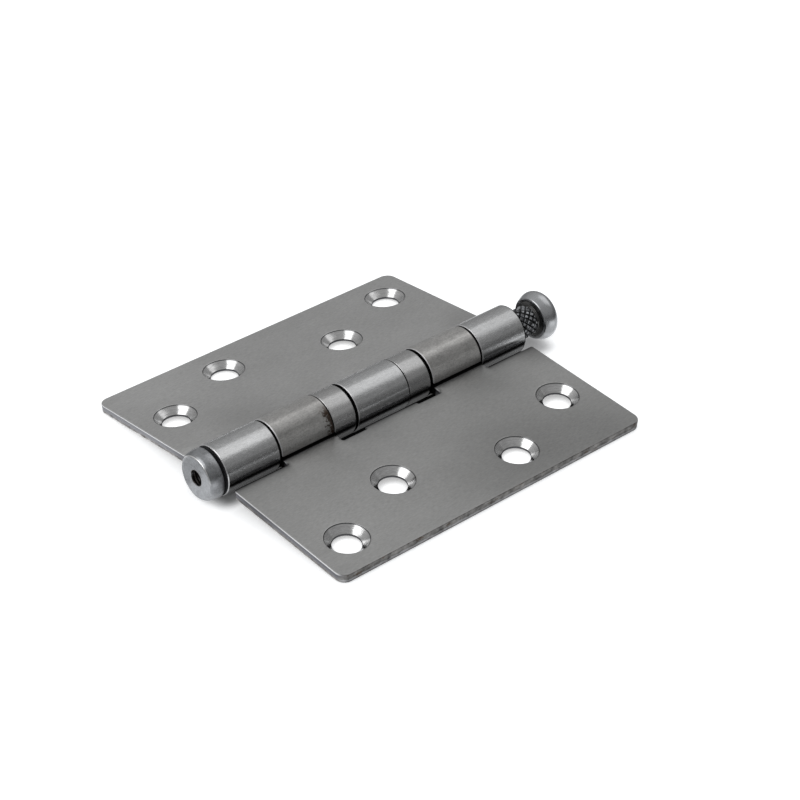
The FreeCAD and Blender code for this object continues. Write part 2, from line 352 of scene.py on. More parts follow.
def makeLeafSteel(name, look):
    material, shader, place = startMaterial(name)
    tree = place.tree
    sheet = wire(tree, "ShaderNodeUVMap", uv_map="sheet")
    x, y, z = split(place)
    across, station, _ = split(sheet)
    grain = useGroup(satinGrain, sheet, Strength=look["streaks"], Cloud=look["clouds"])
    zone = useGroup(sheetZones, place)
    pitting = useGroup(tumbledSpeckle, place, Size=1.0)
    speckle, blotch = pitting["Speckle"], pitting["Blotch"]

    colour = mix(zone["Knuckle"], look["plate"], look["knuckle"])
    colour = brighten(colour, grain["Streaks"] + grain["Clouds"])
    for s, at, reach, depth in look["shades"]:
        away = measure("DISTANCE", sheet, (s * mm, at * mm, 0.0))
        colour = brighten(colour, away.ramp(0.0, reach * mm, depth, 0.0))

    # the knuckles keep axial scuffs and a mottled skin from rolling
    scuff = noise(sheet, (5200.0, 300.0, 1.0), 3.0, 0.7)
    scuffs = scuff.swing(look["scuffs"]) + blotch.swing(look["mottle"]) + speckle.swing(look["speckle"])
    # painted highlights and shade on the knuckles, set by their turn about the axis, and a rolled mark line
    colour = mix(zone["Knuckle"], colour, addLightAndMarkBands(place, brighten(colour, scuffs), look["lightAndMarkBands"]))

    # smudges close to the barrel and an oil stain at one knuckle's bearing end
    cloudy = noise(place, (130.0, 70.0, 130.0), 4.0, 0.6).ramp(0.5, 0.72)
    colour = mix(cloudy * look["smudge"] * x.apart(0.0).ramp(24 * mm, 10 * mm), colour, look["smudgeColour"])
    if look["stainEnd"] is not None:
        end = stationAt(look["stainEnd"])
        ragged = y + noise(place, 1300.0, 4.0, 0.7).swing(7 * mm)
        stain = ragged.ramp(end - 2.4 * mm, end - 1.0 * mm) * y.ramp(end + 0.6 * mm, end + 0.4 * mm)
        stain = stain * (x.ramp(1.8 * mm, 4.5 * mm) * zone["Knuckle"]) * 0.95
        colour = mix(stain, colour, look["stainColour"])

    # painted shade and reflection: the sheet's colour darkens towards the cut-outs that face the barrel, standing
    # for the barrel's shade and dark mirror image
    spans = 0.0
    for start, end in look["cutOuts"]:
        low = station.ramp((start - 1.0) * mm, (start + 0.5) * mm)
        spans = low * station.ramp((end + 1.0) * mm, (end - 0.5) * mm) + spans
    beyond = (leafBlank["cutOut"] - 0.05) * mm - across
    shade = calc(tree, "EXPONENT", beyond * (1.0 / look["shadeReach"] / mm)) * spans
    colour = brighten(colour, shade.least(1.0) * across.ramp(7.4 * mm, 8.0 * mm) * -0.92)

    # sheared edges, rusty in places, with painted highlights on their rounded tops and on the knuckles' end rims
    rust = noise(place, (900.0, 420.0, 900.0), 3.0, 0.6).ramp(0.56, 0.68)
    rough = brighten(mix(rust * 0.6, look["endRough"], look["rust"]), blotch.swing(1.8))
    dark = brighten(mix(rust * 0.7, look["longDark"], look["rust"]), blotch.swing(2.6))
    light = brighten(mix(rust * 0.5, look["longLight"], look["rust"]), blotch.swing(1.2))
    edges = {
        "EndDark": look["endDark"], "EndRough": brighten(rough, zone["Foot"] * 0.9), "EndLine": look["endLine"],
        "LongDark": dark, "LongLight": brighten(light, zone["Foot"] * -0.3), "RollHighlight": look["roll"],
        "TabRimHighlight": look["tabRimHighlight"],
    }
    for label, finish in edges.items():
        colour = mix(zone[label], colour, finish)

    # grime and painted shade lie between the knuckles and where each tab's tip meets the sheet
    # the knuckles' end walls and the tabs' bends are painted nearly black for the shade in those gaps, a little
    # paler by the plug's end
    grimeAndShade = zone["TabEnd"] + zone["Crevice"] + across.ramp((tabTip() + 0.36) * mm, (tabTip() + 0.16) * mm)
    for _, end in leafBlank["knuckles"]:
        grimeAndShade = grimeAndShade + station.apart((end - 0.14) * mm).ramp(0.3 * mm, 0.2 * mm) * zone["Knuckle"]
    grimeAndShade = grimeAndShade.least(1.0)
    grimeAndShadeColour = mix(station.ramp(1.5 * mm, 0.5 * mm), look["grimeAndShade"], look["plugEndGrimeAndShade"])
    colour = mix(grimeAndShade, colour, brighten(grimeAndShadeColour, speckle.swing(2.5)))

    # countersinks with the cutter's chatter, and painted shade down each hole's shaft
    turns = attribute(tree, "sinkMarks", "Vector")
    chatter = noise(turns, (3.0, 3.0, 5.0), 4.0, 0.6)
    tool = noise(turns, (1.5, 1.5, 16.0), 3.0, 0.6)
    marks = chatter.swing(look["sinkMarks"] * 2.0) + tool.swing(look["sinkMarks"])
    colour = mix(zone["Sink"], colour, brighten(look["sink"], marks))
    colour = mix(zone["Rim"] * 0.85, colour, look["rim"])
    colour = mix(zone["ShaftShade"], colour, look["shaft"])

    plain = look["plateRoughness"]
    torn = zone["EndRough"] + zone["LongDark"]
    roughness = grain["Streaks"] * 0.25 + plain + zone["Knuckle"] * (look["knuckleRoughness"] - plain)
    roughness = roughness + scuffs * zone["Knuckle"] * -0.2 + grimeAndShade * 0.4 + torn * 0.25
    roughness = roughness + zone["Sink"] * (look["sinkRoughness"] - plain)
    roughness = calc(tree, "ADD", roughness, marks * zone["Sink"] * -0.25, clamp=True)

    height = grain["Height"] * 0.5 + speckle * torn * 4.0 + (chatter + tool * 0.5) * zone["Sink"] * 0.9
    height = height + (scuff + blotch) * zone["Knuckle"] * (look["mottle"] * 4.0)
    height = height + grain["Height"] * zone["Knuckle"] * look["knuckleRelief"]
    height = height + speckle * (zone["Knuckle"] * z.ramp(5.6 * mm, 7.2 * mm)) * (look["speckle"] * 0.7)
    finishShader(shader, colour, roughness, height, 0.35, 0.03 * mm)
    return material


def makeTurnedSteel(name, look):
    # turned parts: rings of fine tool marks about the barrel's axis, then tumbled
    material, shader, place = startMaterial(name)
    tree = place.tree
    pitting = useGroup(tumbledSpeckle, place, Size=look["size"])
    speckle, blotch = pitting["Speckle"], pitting["Blotch"]
    x, y, z = split(place)
    z = z - barrel["axisHeight"] * mm
    radius = calc(tree, "SQRT", x * x + z * z)
    rings = noise(wire(tree, "ShaderNodeCombineXYZ", {0: radius + y}), 5200.0, 3.0, 0.6)
    grain = useGroup(satinGrain, place, Strength=look["streaks"], Cloud=look["streaks"])
    swing = rings.swing(look["rings"]) + speckle.swing(look["speckle"]) + blotch.swing(look["blotch"])
    colour = brighten(look["colour"], swing + (grain["Streaks"] + grain["Clouds"]))
    # painted highlights and shade, set by the turn about the axis
    colour = addLightAndMarkBands(place, colour, look.get("lightAndMarkBands", ()))
    # painted highlight: a pale line at one radius, on the upper side only
    if "rimHighlight" in look:
        middle, half = look["rimHighlightLine"]
        line = radius.apart(middle * mm).ramp(half * mm, half * mm * 0.5) * z.ramp(0.0, 2 * mm)
        colour = mix(line, colour, look["rimHighlight"])
    # worn, flattened crest tops, painted dark as painted shade
    if "wornShade" in look:
        flat, full = look["wornShadeRadii"]
        colour = mix(radius.ramp(flat * mm, full * mm), colour, look["wornShade"])
    # grime and painted shade inside a given radius: in hollows and under the head
    if "grimeAndShade" in look:
        inner, outer = look["grimeAndShadeRadii"]
        grimeAndShade = (radius + blotch.swing(0.8 * mm)).ramp(outer * mm, inner * mm) * 0.9
        colour = mix(grimeAndShade, colour, look["grimeAndShade"])
    roughness = calc(tree, "ADD", blotch.swing(look["blotch"] * 0.7), look["roughness"], clamp=True)
    height = rings * (look["rings"] * 3.0) + speckle * (look["speckle"] * 3.0)
    finishShader(shader, colour, roughness, height, 0.3, 0.02 * mm)
    return material


sharedLeafLook = {
    # the roll colour is a painted highlight on the edges' rounded tops
    "roll": (0.85, 0.85, 0.86), "longDark": (0.23, 0.225, 0.22), "longLight": (0.42, 0.42, 0.43),
    "rust": (0.11, 0.078, 0.055), "sink": (0.72, 0.72, 0.72), "rim": (0.1, 0.1, 0.105),
    "shaft": (0.14, 0.14, 0.15), "tabRimHighlight": (0.75, 0.75, 0.76), "grimeAndShade": (0.012, 0.012, 0.012),
    "plugEndGrimeAndShade": (0.1, 0.1, 0.105), "stainColour": (0.05, 0.03, 0.018), "stainEnd": None,
    "plateRoughness": 0.4, "knuckleRelief": 1.2, "sinkRoughness": 0.17, "sinkMarks": 0.34,
    "shadeReach": 1.0, "streaks": 0.8, "clouds": 0.2, "smudge": 0.15,
}

leafLooks = {
    "backLeafSteel": {
        **sharedLeafLook,
        "plate": (0.56, 0.56, 0.555), "knuckle": (0.56, 0.565, 0.57), "endDark": (0.29, 0.29, 0.31),
        "endRough": (0.37, 0.36, 0.36), "endLine": (0.25, 0.25, 0.27), "smudgeColour": (0.32, 0.3, 0.3),
        "knuckleRoughness": 0.25, "scuffs": 0.28, "mottle": 0.1, "speckle": 0.4,
        "cutOuts": ((14.6, 37.05), (52.45, 75.0)),
        # place across and along the leaf, reach and depth of each soft patch where the colour is made darker; a
        # positive depth makes it paler
        "shades": (
            (13.0, 20.0, 13.0, -0.14), (10.0, 87.0, 13.0, -0.17), (45.0, 12.0, 27.0, 0.15), (9.0, 1.0, 6.0, 0.25),
        ),
        # painted highlight and shade bands on the knuckles, and a rolled mark line near 18 degrees
        "lightAndMarkBands": (
            (56, 20, 0.0, 14.6, 0.18), (21, 3, 0.0, 14.6, -0.2), (17.8, 2.6, 37.6, 52.2, 0.55),
            (10, 6, 37.6, 52.2, -0.28), (51, 8, 37.6, 52.2, -0.12), (124, 14, 75.0, 89.0, -0.45),
            (6.5, 7, 75.0, 89.0, -0.5), (18.5, 4.5, 75.0, 89.0, 0.6), (52, 10, 75.0, 89.0, -0.22),
            (68, 14, 75.0, 89.0, -0.13), (-11.5, 8.5, 0.0, 89.0, -0.97),
        ),
    },
    "frontLeafSteel": {
        **sharedLeafLook,
        # this leaf's plate and sheared edges are painted darker than the back leaf's, as painted shade for the
        # dimmer light on its face
        "plate": (0.43, 0.43, 0.425), "knuckle": (0.41, 0.405, 0.395), "endDark": (0.2, 0.2, 0.22),
        "endRough": (0.29, 0.28, 0.275), "endLine": (0.15, 0.15, 0.165), "smudgeColour": (0.28, 0.27, 0.27),
        "knuckleRoughness": 0.38, "scuffs": 0.6, "mottle": 0.4, "speckle": 0.85, "stainEnd": 30.0,
        "cutOuts": ((0.0, 14.9), (30.0, 59.5), (74.7, 89.0)),
        "shades": (
            (38.0, 61.0, 26.0, -0.3), (9.0, 70.0, 18.0, -0.22), (9.0, 40.0, 8.0, -0.1), (30.0, 10.0, 24.0, 0.1),
            (45.0, 82.0, 24.0, -0.28), (40.0, 43.0, 16.0, -0.1), (9.0, 89.0, 9.0, -0.3),
        ),
        # painted highlight and shade bands on the knuckles
        "lightAndMarkBands": (
            (26, 20, 14.9, 30.0, 0.55), (53, 20, 14.9, 30.0, -0.28), (76, 7, 14.9, 30.0, 0.22),
            (104, 34, 14.9, 30.0, 0.35), (-3, 9, 14.9, 30.0, -0.25), (22, 20, 59.5, 74.7, 0.95),
            (53, 14, 59.5, 74.7, -0.35), (70, 6, 59.5, 74.7, 0.15), (106, 34, 59.5, 74.7, 0.42),
            (-4, 8, 59.5, 74.7, -0.4),
        ),
    },
}

# radii and the painted highlight line's place and half width are in millimetres
turnedLooks = {
    "headSteel": {
        "colour": (0.53, 0.54, 0.555), "size": 1.0, "rings": 0.05, "speckle": 0.16, "blotch": 0.16,
        "streaks": 0.14, "roughness": 0.27, "grimeAndShade": (0.09, 0.088, 0.085), "grimeAndShadeRadii": (4.3, 4.9),
    },
    "knurlSteel": {
        "colour": (0.36, 0.37, 0.385), "size": 1.3, "rings": 0.0, "speckle": 1.5, "blotch": 1.3,
        "streaks": 0.0, "roughness": 0.36, "grimeAndShade": (0.022, 0.022, 0.023), "grimeAndShadeRadii": (3.54, 3.71),
        "wornShade": (0.09, 0.09, 0.095), "wornShadeRadii": (3.76, 3.83),
    },
    "plugSteel": {
        "colour": (0.37, 0.38, 0.395), "size": 0.8, "rings": 0.06, "speckle": 0.9, "blotch": 0.8,
        "streaks": 0.0, "roughness": 0.31, "grimeAndShade": (0.09, 0.075, 0.065), "grimeAndShadeRadii": (1.9, 2.1),
        "rimHighlight": (0.9, 0.9, 0.9), "rimHighlightLine": (5.24, 0.12),
    },
    "shellSteel": {
        "colour": (0.5, 0.5, 0.5), "size": 0.9, "rings": 0.03, "speckle": 0.5, "blotch": 0.05,
        "streaks": 0.5, "roughness": 0.27,
        # painted highlights on the lower shell, and a painted dark band low on both shells
        "lightAndMarkBands": ((30, 16, 29.5, 37.0, 0.5), (45, 10, 29.5, 37.0, 0.2), (-10, 9, 29.5, 60.0, -0.97)),
    },
    "shankSteel": {
        "colour": (0.5, 0.5, 0.5), "size": 0.9, "rings": 0.03, "speckle": 0.3, "blotch": 0.05,
        "streaks": 0.4, "roughness": 0.24,
    },
    # the races are nearly black: grease, and painted shade for the dark inside of the bearing
    "raceSteel": {
        "colour": (0.1, 0.1, 0.1), "size": 1.0, "rings": 0.2, "speckle": 0.2, "blotch": 0.2,
        "streaks": 0.0, "roughness": 0.2,
    },
    "cageBrass": {
        "colour": (0.6, 0.43, 0.16), "size": 1.0, "rings": 0.1, "speckle": 0.25, "blotch": 0.3,
        "streaks": 0.0, "roughness": 0.3,
    },
    "ballSteel": {
        "colour": (0.7, 0.7, 0.71), "size": 1.0, "rings": 0.0, "speckle": 0.06, "blotch": 0.06,
        "streaks": 0.0, "roughness": 0.08,
    },
}

materials = {name: makeLeafSteel(name, look) for name, look in leafLooks.items()}
materials.update({name: makeTurnedSteel(name, look) for name, look in turnedLooks.items()})
print("finishes ready:", len(materials))


def rollPoint(s, level):
    # where a point of the flat blank goes once the tab is swaged and rolled
    centreX, centreZ, swage, middle, meet, bendLength, curlLength = curlShape()
    if s >= centreX:
        return s, leafBlank["middleZ"] + level
    run = centreX - s
    if run <= bendLength:
        turn = math.pi / 2 + run / swage
        return centreX + (swage + level) * math.cos(turn), centreZ + (swage + level) * math.sin(turn)
    turn = -meet - (run - bendLength) / middle
    return (middle - level) * math.cos(turn), (middle - level) * math.sin(turn)


def blankOutline(own):
    # corners of the flat blank, anticlockwise seen from its face, each with its radius
    cut, notch, reach, length = (leafBlank[k] for k in ("cutOut", "notch", "reach", "length"))
    small, big = leafBlank["smallCorner"], leafBlank["cornerRadius"]
    edgeAt = [(start, end, notch) for start, end in leafBlank["bearings"]]
    for number, (start, end) in enumerate(leafBlank["knuckles"]):
        edgeAt.append((start, end, tabTip() if number in own else cut))
    levels = []
    for start, end, s in sorted(edgeAt):
        if levels and levels[-1][2] == s:
            levels[-1][1] = end
        else:
            levels.append([start, end, s])
    for before, after in zip(levels, levels[1:]):
        # the split between neighbouring knuckles belongs to the cut-out
        if before[2] == cut:
            before[1] = after[0]
        elif after[2] == cut:
            after[0] = before[1]
    corners = [(reach, 0.0, big), (reach, length, big)]
    for start, end, s in reversed(levels):
        corners += [(s, end, small), (s, start, small)]
    return corners


def roundCorner(before, here, after, radius):
    # points and inward normals round one corner, with the room each leaves for the rings inside it
    arrive, leave = (here - before).normalized(), (after - here).normalized()
    side = 1.0 if arrive.x * leave.y - arrive.y * leave.x > 0 else -1.0
    radius = min(radius, (here - before).length / 2.01, (after - here).length / 2.01)
    inward = Vector((-arrive.y, arrive.x))
    centre = here - arrive * radius + inward * radius * side
    pieces = 14 if radius > 1 else 6
    room = radius if side > 0 else 9.0
    points = []
    for k in range(pieces + 1):
        turn = side * math.pi / 2 * k / pieces
        cosine, sine = math.cos(turn), math.sin(turn)
        normal = Vector((inward.x * cosine - inward.y * sine, inward.x * sine + inward.y * cosine))
        points.append((centre - normal * radius * side, normal, room))
    return points


def outlinePoints(corners):
    # points round the blank with their inward normals: arcs at corners and steps along the tabs' sides
    centreX, _, _, _, _, bendLength, curlLength = curlShape()
    step = (bendLength + curlLength) / leafBlank["curlSteps"]
    flatStart = leafBlank["notch"] + 1.0
    count = len(corners)
    turned = []
    for i, (s, y, radius) in enumerate(corners):
        before, after = Vector(corners[i - 1][:2]), Vector(corners[(i + 1) % count][:2])
        turned.append(roundCorner(before, Vector((s, y)), after, radius))
    found = []
    for i, arcPoints in enumerate(turned):
        found.extend(arcPoints)
        start, normal, _ = arcPoints[-1]
        end = turned[(i + 1) % count][0][0]
        run = end - start
        low, high = min(start.x, end.x), max(start.x, end.x)
        marks = []
        if abs(run.y) < 1e-6:
            number = math.ceil((centreX - high) / step)
            while centreX - number * step > low + 0.08:
                s = centreX - number * step
                if s < high - 0.08 and s < flatStart:
                    marks.append((s - start.x) / run.x)
                number += 1
            flatFrom = max(low, flatStart)
            pieces = int((high - flatFrom) / leafBlank["sheetRow"])
            for k in range(1, pieces):
                marks.append((flatFrom + (high - flatFrom) * k / pieces - start.x) / run.x)
        else:
            pieces = max(2, int(abs(run.y) / leafBlank["tabRow" if start.x < 0 else "sheetRow"]))
            marks = [k / pieces for k in range(1, pieces)]
        found.extend((start + run * mark, normal, 9.0) for mark in sorted(marks) if 0.001 < mark < 0.999)
    return found


def fitInset(inset, room):
    # keeps the rings inside a tight corner from crossing
    most = room * 0.85
    return inset if inset < most else most + (inset - most) * 0.1


def insideLoop(point, loop):
    inside = False
    for a, b in zip(loop, loop[1:] + loop[:1]):
        crosses = (a.y > point.y) != (b.y > point.y)
        if crosses and point.x < (b.x - a.x) * (point.y - a.y) / (b.y - a.y) + a.x:
            inside = not inside
    return inside


def makeLeaf(name, own, side, holes, material, body, slotName, node):
    centreX, _, _, _, _, bendLength, curlLength = curlShape()
    step = (bendLength + curlLength) / leafBlank["curlSteps"]
    loop = outlinePoints(blankOutline(own))
    points, traits, marks, faces = [], [], [], []

    def put(s, y, level, inset, wall=0.0, mark=(0.0, 0.0, 0.0)):
        points.append((s, y, level))
        traits.append((level, inset, wall, s))
        marks.extend(mark)
        return len(points) - 1

    rims = []
    for sheetPoint, tabPoint in zip(leafBlank["edge"], leafBlank["tabEdge"]):
        rim = []
        for place, normal, room in loop:
            share = min(max((place.x - 7.0) / 1.1, 0.0), 1.0)
            into, lift = (tab + (flat - tab) * share for flat, tab in zip(sheetPoint, tabPoint))
            into = fitInset(into, room)
            rim.append(put(place.x + normal.x * into, place.y + normal.y * into, lift, into))
        rims.append(rim)
    wells = []
    turns = [2 * math.pi * k / screwHoles["steps"] for k in range(screwHoles["steps"])]
    for s, y in holes:
        rings = []
        for number, (radius, level) in enumerate(screwHoles["wall"]):
            wall = 1.0 if screwHoles["wallFrom"] <= number <= screwHoles["wallTo"] else 0.0
            ring = []
            for turn in turns:
                cosine, sine = math.cos(turn), math.sin(turn)
                mark = (cosine + s, sine + y, level)
                ring.append(put(s + radius * cosine, y + radius * sine, level, 1.0, wall, mark))
            rings.append(ring)
        wells.append(rings)
    for rings in [rims] + wells:
        for upper, lower in zip(rings, rings[1:]):
            for k in range(len(upper)):
                nextK = (k + 1) % len(upper)
                faces.append((upper[k], upper[nextK], lower[nextK], lower[k]))

    # the rolled tabs need evenly spaced points between their sides
    innerPoints = []
    for number in own:
        start, end = leafBlank["knuckles"][number]
        rows = max(3, int((end - start) / leafBlank["tabRow"]))
        for k in range(1, leafBlank["curlSteps"] - 1):
            for j in range(1, rows):
                innerPoints.append((centreX - k * step, start + (end - start) * j / rows))

    # face and back are triangulated flat, between the rims and the holes
    half = leafBlank["half"]
    for rimRing, wellRing, level, flip in ((rims[0], 0, half, False), (rims[-1], -1, -half, True)):
        index = list(rimRing)
        bounds = [list(range(len(rimRing)))]
        for rings in wells:
            bounds.append(list(range(len(index), len(index) + len(rings[wellRing]))))
            index += rings[wellRing]
        index += [put(s, y, level, 1.0) for s, y in innerPoints]
        flat = [Vector(points[i][:2]) for i in index]
        edges = [(ring[k], ring[(k + 1) % len(ring)]) for ring in bounds for k in range(len(ring))]
        made = delaunay_2d_cdt(flat, edges, [], 0, 1e-6)
        where = [index[origin[0]] if origin else -1 for origin in made[3]]
        print(name, "new points", where.count(-1))
        outline = [flat[i] for i in bounds[0]]
        holeReach = screwHoles["wall"][wellRing][0] * 0.999
        for triangle in made[2]:
            middle = sum((made[0][i] for i in triangle), Vector((0.0, 0.0))) / 3
            if not insideLoop(middle, outline):
                continue
            if any((middle - Vector(hole)).length < holeReach for hole in holes):
                continue
            corner = tuple(where[i] for i in triangle)
            faces.append(corner[::-1] if flip else corner)

    mesh = bpy.data.meshes.new(name)
    cosine, sine = math.cos(barrel["droop"]), math.sin(barrel["droop"])
    rolled = []
    for s, y, level in points:
        x, z = rollPoint(s, level)
        rolled.append(toRow(side * (x * cosine + z * sine), y, z * cosine - x * sine))
    mesh.from_pydata(rolled, [], faces)
    for column, label in enumerate(("throughSheet", "fromEdge", "sinkWall", "alongSheet")):
        values = [trait[column] for trait in traits]
        mesh.attributes.new(label, "FLOAT", "POINT").data.foreach_set("value", values)
    mesh.attributes.new("sinkMarks", "FLOAT_VECTOR", "POINT").data.foreach_set("vector", marks)
    sheetMap = mesh.uv_layers.new(name="sheet")
    for corner in mesh.loops:
        s, y, _ = points[corner.vertex_index]
        sheetMap.data[corner.index].uv = (s * mm, y * mm)
    tidy = bmesh.new()
    tidy.from_mesh(mesh)
    bmesh.ops.delete(tidy, geom=[v for v in tidy.verts if not v.link_faces], context="VERTS")
    bmesh.ops.recalc_face_normals(tidy, faces=tidy.faces)
    print(name, "open edges:", sum(1 for e in tidy.edges if len(e.link_faces) != 2))
    tidy.to_mesh(mesh)
    tidy.free()
    mesh.shade_smooth()
    newObject(name, mesh, material, body, slotName, node)


makeLeaf(
    "frontLeafRolled", (1, 3), 1, screwHoles["front"],
    materials["frontLeafSteel"], "swing_leaf", "front_leaf_steel", "front_leaf",
)
makeLeaf(
    "backLeafRolled", (0, 2, 4), -1, screwHoles["back"],
    materials["backLeafSteel"], "fixed_leaf", "back_leaf_steel", "back_leaf",
)
print("leaves rolled")


# Turned pieces

turnSteps = 144


def turnOutline(name, outline, closed=False, wave=None):
    # revolves radius and station pairs about the barrel's axis
    mesh = bpy.data.meshes.new(name)
    build = bmesh.new()
    rings = []
    for number, (radius, y) in enumerate(outline):
        if radius == 0.0:
            rings.append([build.verts.new(toRow(0.0, y, 0.0))])
            continue
        ring = []
        for k in range(turnSteps):
            turn = 2 * math.pi * k / turnSteps
            r = radius + (wave(number, y, turn) if wave else 0.0)
            ring.append(build.verts.new(toRow(r * math.cos(turn), y, r * math.sin(turn))))
        rings.append(ring)
    pairs = list(zip(rings, rings[1:])) + ([(rings[-1], rings[0])] if closed else [])
    for upper, lower in pairs:
        for k in range(turnSteps):
            nextK = (k + 1) % turnSteps
            corners = []
            for ring, at in ((upper, k), (upper, nextK), (lower, nextK), (lower, k)):
                corner = ring[at % len(ring)]
                if corner not in corners:
                    corners.append(corner)
            build.faces.new(corners)
    bmesh.ops.recalc_face_normals(build, faces=build.faces)
    build.to_mesh(mesh)
    build.free()
    mesh.shade_smooth()
    return mesh


def startTree(name, numbers, counts):
    # a geometry tree with named numbers, counts and a finish to give
    tree = bpy.data.node_groups.new(name, "GeometryNodeTree")
    for kind, inputs in (("NodeSocketFloat", numbers), ("NodeSocketInt", counts)):
        for label, default in inputs.items():
            tree.interface.new_socket(label, in_out="INPUT", socket_type=kind).default_value = default
    tree.interface.new_socket("Finish", in_out="INPUT", socket_type="NodeSocketMaterial")
    tree.interface.new_socket("Geometry", in_out="OUTPUT", socket_type="NodeSocketGeometry")
    outputs = tree.nodes.new("NodeGroupInput").outputs
    return tree, {socket.name: Wire(tree, socket) for socket in outputs}


def closeTree(tree, geometry, finish):
    real = wire(tree, "GeometryNodeRealizeInstances", {0: geometry})
    dressed = wire(tree, "GeometryNodeSetMaterial", {"Geometry": real, "Material": finish})
    addNode(tree, "NodeGroupOutput", {"Geometry": dressed})
    return tree


def runTree(name, tree, values):
    # runs a geometry tree on an empty mesh and returns its result as a plain mesh
    carrier = bpy.data.objects.new(name + "Carrier", bpy.data.meshes.new(name + "Carrier"))
    bpy.context.scene.collection.objects.link(carrier)
    modifier = carrier.modifiers.new(name, "NODES")
    modifier.node_group = tree
    for item in tree.interface.items_tree:
        if item.item_type == "SOCKET" and item.in_out == "INPUT" and item.name in values:
            modifier[item.identifier] = values[item.name]
    graph = bpy.context.evaluated_depsgraph_get()
    made = carrier.evaluated_get(graph)
    mesh = bpy.data.meshes.new_from_object(made, preserve_all_data_layers=True, depsgraph=graph)
    mesh.name = name
    bpy.data.objects.remove(carrier)
    return mesh


def outward(mesh):
    # closes the ends, merges doubles and turns the faces outwards
    build = bmesh.new()
    build.from_mesh(mesh)
    bmesh.ops.remove_doubles(build, verts=build.verts, dist=1e-7)
    holes = [e for e in build.edges if len(e.link_faces) == 1]
    if holes:
        bmesh.ops.holes_fill(build, edges=holes, sides=0)
    bmesh.ops.recalc_face_normals(build, faces=build.faces)
    build.to_mesh(mesh)
    build.free()
    mesh.shade_smooth()


pinSizes = {
    "radius": 3.85,
    "tip": 12.6,
    "tipChamfer": 1.0,
    "knurlStart": 88.7,
    "knurlEnd": 95.3,
    "knurlCrest": 3.87,
    "knurlRoot": 3.38,
    "relief": 3.55,
    "headStart": 96.0,
    "headEnd": 101.1,
    "headRadius": 6.1,
}


def makePin():
    p = pinSizes
    wide, tip, knurlStart, knurlEnd = p["radius"], p["tip"], p["knurlStart"], p["knurlEnd"]
    root, narrow, chamfer = p["knurlRoot"] - 0.15, p["radius"] - p["tipChamfer"], p["tipChamfer"]
    shank = [
        (0.0, tip), (narrow - 0.1, tip), (narrow, tip + 0.05), (wide - 0.08, tip + chamfer - 0.05),
        (wide, tip + chamfer + 0.12), (wide, tip + 20), (wide, knurlStart - 20), (wide, knurlStart - 0.3),
        (wide - 0.06, knurlStart - 0.06), (root, knurlStart + 0.02), (0.0, knurlStart + 0.1),
    ]
    wide, relief, flare = p["headRadius"], p["relief"], p["headStart"]
    head = [
        (0.0, knurlEnd - 0.1), (root, knurlEnd - 0.04), (relief - 0.04, knurlEnd), (relief, knurlEnd + 0.06),
        (relief, flare - 0.16), (relief + 0.05, flare - 0.05), (relief + 0.16, flare),
        (4.2, flare + 0.02), (4.32, flare + 0.1), (4.5, flare + 0.12), (4.62, flare + 0.02), (4.75, flare),
        (5.1, flare + 0.005), (5.17, flare + 0.01), (5.195, flare + 0.03), (5.34, flare + 0.21),
        (5.365, flare + 0.25), (5.4, flare + 0.32), (5.56, flare + 0.66), (5.76, flare + 1.1), (5.92, flare + 1.5),
        (6.03, flare + 1.9), (wide - 0.02, flare + 2.2), (wide, flare + 2.5), (wide - 0.03, flare + 2.85),
        (5.98, flare + 3.2), (5.84, flare + 3.5), (5.63, flare + 3.85), (5.35, flare + 4.15), (5.0, flare + 4.37),
        (4.5, flare + 4.57), (3.6, flare + 4.8), (2.6, flare + 4.95), (1.4, flare + 5.06), (0.0, p["headEnd"]),
    ]
    for name, outline, finish in (("pinShank", shank, "shankSteel"), ("pinButtonHead", head, "headSteel")):
        newObject(name, turnOutline(name, outline), materials[finish], "pin", "pin_steel", "hinge_pin")


